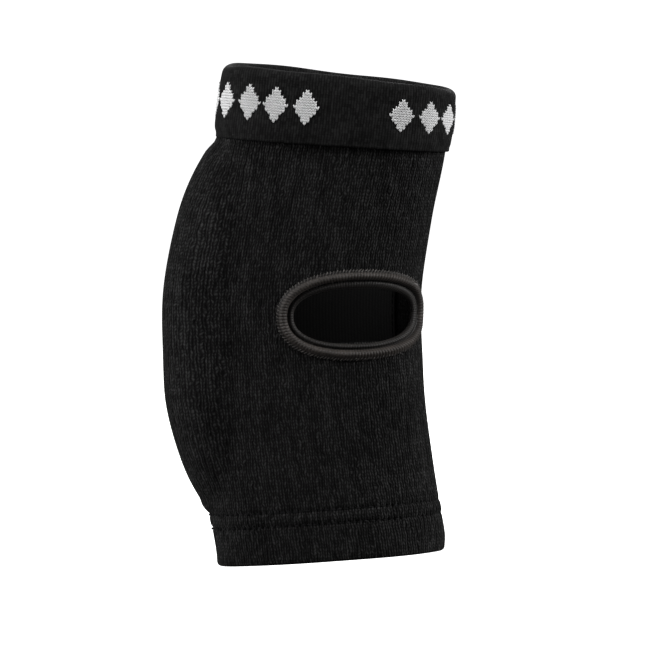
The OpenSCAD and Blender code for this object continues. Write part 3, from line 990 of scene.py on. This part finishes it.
def make_overlock(angles):
    """Short stitches that catch the binding's outer edge."""
    thread = thread_finish(
        "binding_thread", (0.004, 0.0035, 0.0032), (0.03, 0.027, 0.025), (0.12, 0.11, 0.104), gloss=0.3
    )
    number = np.arange(len(angles))[:, None]
    reach = np.array([-1.0, -0.65, -0.3, 0.0, 0.25, 0.4])[None, :] + 0.15 * np.sin(number * 2.7)
    lift = np.array([3.2, 3.6, 3.5, 3.3, 3.0, 2.4])[None, :]
    sway = 0.02 * (1 + 0.4 * np.sin(number * 1.9))
    turn, height = opening_spot(angles[:, None] + sway * reach, BINDING_COVER + reach)
    paths = on_sleeve(turn, height, np.broadcast_to(lift, reach.shape))
    radii = np.array([0.1, 0.2, 0.22, 0.22, 0.18, 0.1])
    piece = thread_tubes("binding_overlock_stitches", paths, radii, outwards(turn, height), sides=5)
    dress(piece, thread, "binding_thread", "binding_overlock_thread")
    bend_with_elbow(piece)


# ---- The pad and its pocket ------------------------------------------------------------------------------


def pad_grid(name, parts, lower, upper, uv_pitch):
    """A curved slab over the pad's outline, between two depths that are functions of turn and height."""
    sides = 160
    angle = np.arange(sides) * FULL_TURN / sides
    turn, height = pad_spot(np.array(parts)[:, None], angle[None, :])
    top = place(turn, height, upper(turn, height))
    base = place(turn, height, lower(turn, height))
    middle_turn, middle_height = pad_spot(0.0, 0.0)
    caps = [place(middle_turn, middle_height, side(middle_turn, middle_height)) for side in (upper, lower)]
    points = np.concatenate([top.reshape(-1, 3), base[::-1].reshape(-1, 3), np.array(caps).reshape(-1, 3)])
    rings = 2 * len(parts)
    faces = []
    for ring in range(rings - 1):
        for j in range(sides):
            k = (j + 1) % sides
            a, b = ring * sides, (ring + 1) * sides
            faces.append((a + j, a + k, b + k, b + j))
    last = rings * sides
    faces += [(last, (j + 1) % sides, j) for j in range(sides)]
    end = (rings - 1) * sides
    faces += [(last + 1, end + j, end + (j + 1) % sides) for j in range(sides)]
    across = PASSAGE.gap(PASSAGE.distance(turn), PAD_GIRTH)
    top_spots = np.stack([across, height], -1)
    base_spots = top_spots[::-1]
    cap_spots = [[0, PAD_HEIGHT], [0, PAD_HEIGHT]]
    spots = np.concatenate([top_spots.reshape(-1, 2), base_spots.reshape(-1, 2), cap_spots]) / uv_pitch
    uvs = [spots[index] for face in faces for index in face]
    return make_object(name, points, faces, uvs)


def make_foam():
    """One block of foam, which a short cloth simulation swells a little."""
    parts = [0.12, 0.24, 0.36, 0.48, 0.6, 0.7, 0.78, 0.85, 0.9, PAD_REACH]
    piece = pad_grid(
        "foam_block",
        parts,
        lambda turn, height: np.full(np.shape(turn), LINING + FOAM_LOW_GAP),
        lambda turn, height: LINING + np.maximum(bulge(turn, height) - FOAM_HIGH_GAP, FOAM_EDGE),
        4.0,
    )
    swell(piece)
    dress(piece, foam_finish(), "pad_foam", "foam_pad")
    bend_with_elbow(piece)


def swell(piece):
    """Remeshes a closed piece evenly and inflates it as cloth for some frames. The cloth would go further
    than the pocket has room for, so each point stops at the cap, and most points reach it."""
    scene = bpy.context.scene
    bpy.context.view_layer.objects.active = piece
    remesh = piece.modifiers.new("even", "REMESH")
    remesh.mode = "VOXEL"
    remesh.voxel_size = VOXEL
    apply_modifiers(piece)
    start = mesh_points(piece.data)
    cloth = piece.modifiers.new("swell", "CLOTH")
    cloth.settings.quality = 5
    cloth.settings.mass = 0.2
    cloth.settings.tension_stiffness = 12
    cloth.settings.compression_stiffness = 12
    cloth.settings.bending_stiffness = 2
    cloth.settings.use_pressure = True
    cloth.settings.uniform_pressure_force = SWELL_PRESSURE
    cloth.settings.effector_weights.gravity = 0
    for number in range(1, SWELL_FRAMES + 1):
        scene.frame_set(number)
    apply_modifiers(piece)
    scene.frame_set(1)
    moved = mesh_points(piece.data) - start
    far = np.linalg.norm(moved, axis=1, keepdims=True)
    limit = SWELL_CAP * MM
    kept = start + moved * np.minimum(1, limit / np.maximum(far, 1e-9))
    piece.data.vertices.foreach_set("co", kept.ravel())
    piece.data.polygons.foreach_set("use_smooth", np.ones(len(piece.data.polygons), bool))
    piece.data.update()


def apply_modifiers(piece):
    """Puts a piece's modifiers into its mesh."""
    shown = piece.evaluated_get(bpy.context.evaluated_depsgraph_get())
    mesh = bpy.data.meshes.new_from_object(shown)
    piece.modifiers.clear()
    piece.data = mesh


def make_lining():
    parts = [0.15, 0.3, 0.45, 0.6, 0.72, 0.82, 0.9, 0.95, LINING_REACH]
    piece = pad_grid(
        "pocket_lining_sheet",
        parts,
        lambda turn, height: np.full(np.shape(turn), 0.05) + 0.12 * np.sin(height / 5) * np.sin(turn * 9),
        lambda turn, height: np.full(np.shape(turn), LINING - 0.1),
        1.4,
    )
    dress(piece, lining_finish(), "pocket_lining", "pad_pocket_lining")
    bend_with_elbow(piece)


def make_pocket_stitches(thread):
    angle = (np.arange(POCKET_STITCH_COUNT) + 0.5) * FULL_TURN / POCKET_STITCH_COUNT
    turns, heights = pad_spot(SEAM_REACH, angle)
    piece = stitch_row(
        "pocket_stitches",
        turns,
        heights,
        -0.02,
        POCKET_THREAD_RADIUS,
        thread,
        "pad_pocket_thread",
        arch=-0.15,
        shape=place,
    )
    bend_with_elbow(piece)


# ---- Stage -----------------------------------------------------------------------------------------------


def make_stage():
    """A pale floor under a pale dome, which the camera sees and which throw no light on the object."""
    turn = np.arange(STAGE_SIDES) * FULL_TURN / STAGE_SIDES
    circle = np.stack([np.cos(turn), np.sin(turn), np.zeros(STAGE_SIDES)], 1)
    floor = bpy.data.meshes.new("floor")
    floor.from_pydata((FLOOR_RADIUS * circle).tolist(), [], [tuple(range(STAGE_SIDES))])
    rise = np.linspace(-0.2, 0.5, DOME_RINGS)[:, None, None] * math.pi
    rings = np.cos(rise) * circle + np.sin(rise) * np.array([0, 0, 1])
    dome = bpy.data.meshes.new("dome")
    faces = []
    for low in range(0, (DOME_RINGS - 1) * STAGE_SIDES, STAGE_SIDES):
        high = low + STAGE_SIDES
        for j in range(STAGE_SIDES):
            k = (j + 1) % STAGE_SIDES
            faces.append((low + j, low + k, high + k, high + j))
    dome.from_pydata((DOME_RADIUS * rings.reshape(-1, 3)).tolist(), [], faces)
    paper = bpy.data.materials.new("pale_paper")
    paper.use_nodes = True
    shader = paper.node_tree.nodes["Principled BSDF"]
    shader.inputs["Base Color"].default_value = (0.6, 0.6, 0.6, 1)
    shader.inputs["Roughness"].default_value = 0.9
    shader.inputs["Specular IOR Level"].default_value = 0.1
    shader.inputs["Emission Color"].default_value = (1, 1, 1, 1)
    shader.inputs["Emission Strength"].default_value = 1.0
    for mesh in (floor, dome):
        mesh.materials.append(paper)
        piece = bpy.data.objects.new("stage_" + mesh.name, mesh)
        piece.visible_diffuse = False
        piece.visible_glossy = False
        piece.visible_shadow = False
        bpy.context.scene.collection.objects.link(piece)


def add_softbox(name, place_m, target_m, size, watts):
    light = bpy.data.lights.new(name, "AREA")
    light.shape = "RECTANGLE"
    light.size, light.size_y = size
    light.energy = watts
    lamp = bpy.data.objects.new(name, light)
    lamp.location = place_m
    lamp.rotation_mode = "QUATERNION"
    lamp.rotation_quaternion = (Vector(target_m) - Vector(place_m)).to_track_quat("-Z", "Y")
    bpy.context.scene.collection.objects.link(lamp)


def make_lights():
    middle = (0, 0, 0.11)
    add_softbox("key_softbox", (-1.55, -0.5, 0.9), middle, (0.6, 0.9), 46)
    add_softbox("fill_softbox", (1.55, -0.35, 0.7), middle, (0.6, 0.9), 44)
    add_softbox("top_softbox", (-0.2, -0.6, 1.8), middle, (1.0, 0.6), 14)
    add_softbox("back_softbox", (0.3, 1.5, 1.0), middle, (1.2, 0.9), 26)
    world = bpy.data.worlds.new("studio")
    world.use_nodes = True
    world.node_tree.nodes["Background"].inputs[0].default_value = (1, 1, 1, 1)
    world.node_tree.nodes["Background"].inputs[1].default_value = 0.22
    bpy.context.scene.world = world


def make_camera():
    """A long lens level with the sleeve's middle, rolled so that the hem rises to the right."""
    back = Vector((0, -math.cos(CAMERA_ELEVATION), math.sin(CAMERA_ELEVATION)))
    camera = bpy.data.cameras.new("camera")
    camera.sensor_width = SENSOR_WIDTH
    camera.lens = SENSOR_WIDTH * CAMERA_DISTANCE / VIEW_WIDTH
    view = bpy.data.objects.new("camera", camera)
    view.location = Vector(CAMERA_TARGET) + back * CAMERA_DISTANCE
    view.rotation_mode = "QUATERNION"
    facing = (-back).to_track_quat("-Z", "Y")
    view.rotation_quaternion = facing @ Quaternion((0, 0, 1), CAMERA_ROLL)
    bpy.context.scene.collection.objects.link(view)
    bpy.context.scene.camera = view


def main():
    make_camera()
    make_stage()
    make_lights()
    bpy.context.scene.view_settings.view_transform = "Standard"

    black_thread = thread_finish(
        "black_thread", (0.0008, 0.0008, 0.0009), (0.004, 0.004, 0.0042), (0.02, 0.02, 0.021), gloss=0.05
    )
    make_sleeve()
    make_hem_stitches(black_thread)
    make_hem_looper(black_thread)
    make_cuff()
    make_motif()
    make_cuff_join(black_thread)
    rib_angles = make_binding()
    make_overlock(rib_angles)
    make_foam()
    make_lining()
    make_pocket_stitches(black_thread)

    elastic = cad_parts["cuff_elastic"]
    elastic.data.materials.clear()
    elastic.data.materials.append(elastic_finish())


main()
